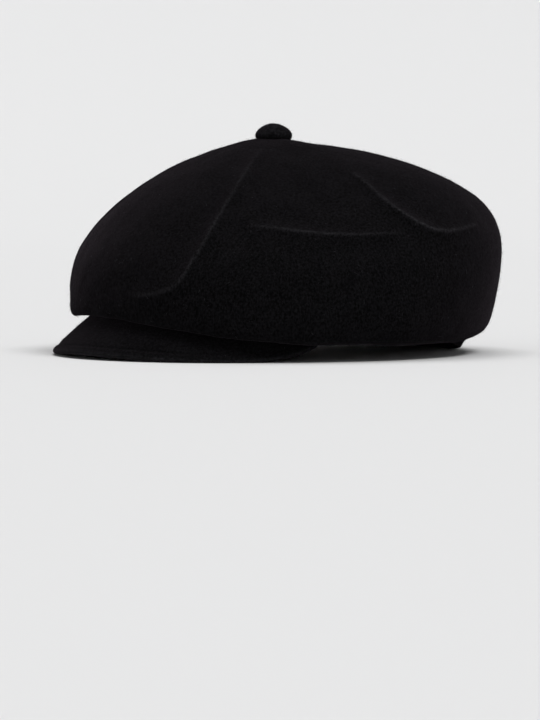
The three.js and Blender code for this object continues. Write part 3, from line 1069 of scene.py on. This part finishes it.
def stitchTree(inputs):
    tree, start, end = newTree("edgeStitches", inputs)
    link = tree.links.new
    path = addNode(tree, "GeometryNodeMeshToCurve")
    steps = addNode(tree, "GeometryNodeResampleCurve", mode="LENGTH")
    bead = addNode(tree, "GeometryNodeMeshUVSphere")
    bead.inputs["Segments"].default_value = stitch["segments"]
    bead.inputs["Rings"].default_value = stitch["rings"]
    bead.inputs["Radius"].default_value = 0.5  # one across, so its scale is its size
    shape = addNode(tree, "ShaderNodeCombineXYZ")
    thread = addNode(tree, "GeometryNodeTransform")
    tangent = addNode(tree, "GeometryNodeInputTangent")
    turn = addNode(tree, "FunctionNodeAlignRotationToVector", axis="X")
    copies = addNode(tree, "GeometryNodeInstanceOnPoints")
    real = addNode(tree, "GeometryNodeRealizeInstances")
    finish = addNode(tree, "GeometryNodeSetMaterial")
    link(start.outputs["Geometry"], path.inputs["Mesh"])
    link(path.outputs["Curve"], steps.inputs["Curve"])
    link(start.outputs["Spacing"], steps.inputs["Length"])
    link(start.outputs["Length"], shape.inputs["X"])
    link(start.outputs["Thickness"], shape.inputs["Y"])
    link(start.outputs["Thickness"], shape.inputs["Z"])
    link(bead.outputs["Mesh"], thread.inputs["Geometry"])
    link(shape.outputs["Vector"], thread.inputs["Scale"])
    link(tangent.outputs["Tangent"], turn.inputs["Vector"])
    link(steps.outputs["Curve"], copies.inputs["Points"])
    link(thread.outputs["Geometry"], copies.inputs["Instance"])
    link(turn.outputs["Rotation"], copies.inputs["Rotation"])
    link(copies.outputs["Instances"], real.inputs["Geometry"])
    link(real.outputs["Geometry"], finish.inputs["Geometry"])
    link(start.outputs["Material"], finish.inputs["Material"])
    link(finish.outputs["Geometry"], end.inputs["Geometry"])
    return tree


def addStitches(name, line):
    inputs = {
        "Spacing": ("Float", stitch["spacing"] * mm),
        "Length": ("Float", stitch["length"] * mm),
        "Thickness": ("Float", stitch["thickness"] * mm),
        "Material": ("Material", materials["thread"]),
    }
    base = bpy.data.objects.new(name + "Base", bpy.data.meshes.new(name + "Base"))
    base.data.from_pydata(laid(line).tolist(), [(step, step + 1) for step in range(len(line) - 1)], [])
    bpy.context.collection.objects.link(base)
    piece = grow(name, base, stitchTree(inputs), inputs)
    piece.data.shade_smooth()
    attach(piece, "root")
    print(name, len(piece.data.polygons), "faces")


addStitches("upperStitches", stitchLines[0])
addStitches("underStitches", stitchLines[1])


# Floor and light

studio = {
    "floorRadius": 3200,
    "floorFrom": 0.02,
    "floorRings": 12,
    "rimRadius": 6000,
    "rimHeight": 3000,
    "rimRings": 16,
    "sides": 96,
    "floorColour": (0.745, 0.745, 0.747, 1),
    "floorRoughness": 0.9,
    "floorSpecular": 0.1,
    "worldColour": (0.985, 0.99, 1, 1),
    "worldStrength": 0.2,
}
lamps = [
    {"name": "keyLight", "azimuth": 115, "elevation": 60, "spread": 28, "strength": 1.55},
    {"name": "topLight", "azimuth": 250, "elevation": 78, "spread": 40, "strength": 1.3},
    {"name": "fillLight", "azimuth": 0, "elevation": 35, "spread": 60, "strength": 0.1},
]


def addFloor():
    # a round floor whose rim curves up, so every direction has the same plain background
    shares = np.linspace(studio["floorFrom"], 1, studio["floorRings"])
    profile = [(studio["floorRadius"] * share, 0) for share in shares]
    for turn in np.linspace(0, math.pi / 2, studio["rimRings"])[1:]:
        out = studio["floorRadius"] + studio["rimRadius"] * math.sin(turn)
        profile.append((out, studio["rimHeight"] * (1 - math.cos(turn))))
    count = studio["sides"]
    turns = np.linspace(0, 2 * math.pi, count + 1)[:-1]
    points = [(0, 0, 0)]
    for out, height in profile:
        points += [(out * math.cos(turn), out * math.sin(turn), height) for turn in turns]
    faces = [(0, 1 + step, 1 + (step + 1) % count) for step in range(count)]
    for row in range(len(profile) - 1):
        start = 1 + row * count
        for step in range(count):
            after = (step + 1) % count
            faces.append((start + step, start + count + step, start + count + after, start + after))
    material, tree, shader = newMaterial("paleFloor")
    shader.inputs["Base Color"].default_value = studio["floorColour"]
    shader.inputs["Roughness"].default_value = studio["floorRoughness"]
    shader.inputs["Specular IOR Level"].default_value = studio["floorSpecular"]
    points = np.array(points) * mm
    addPiece("floor", points, faces, material)


def addLights():
    for lamp in lamps:
        data = bpy.data.lights.new(lamp["name"], "SUN")
        data.angle = math.radians(lamp["spread"])
        data.energy = lamp["strength"]
        turn, rise = math.radians(lamp["azimuth"]), math.radians(lamp["elevation"])
        away = Vector((math.sin(turn) * math.cos(rise), -math.cos(turn) * math.cos(rise), math.sin(rise)))
        light = bpy.data.objects.new(lamp["name"], data)
        light.location = away
        light.rotation_euler = away.to_track_quat("Z", "Y").to_euler()
        bpy.context.collection.objects.link(light)
    world = bpy.data.worlds.new("studioWorld")
    world.use_nodes = True
    background = world.node_tree.nodes["Background"]
    background.inputs["Color"].default_value = studio["worldColour"]
    background.inputs["Strength"].default_value = studio["worldStrength"]
    bpy.context.scene.world = world
    bpy.context.scene.view_settings.view_transform = "Standard"


addFloor()
addLights()
print("floor and lights placed")
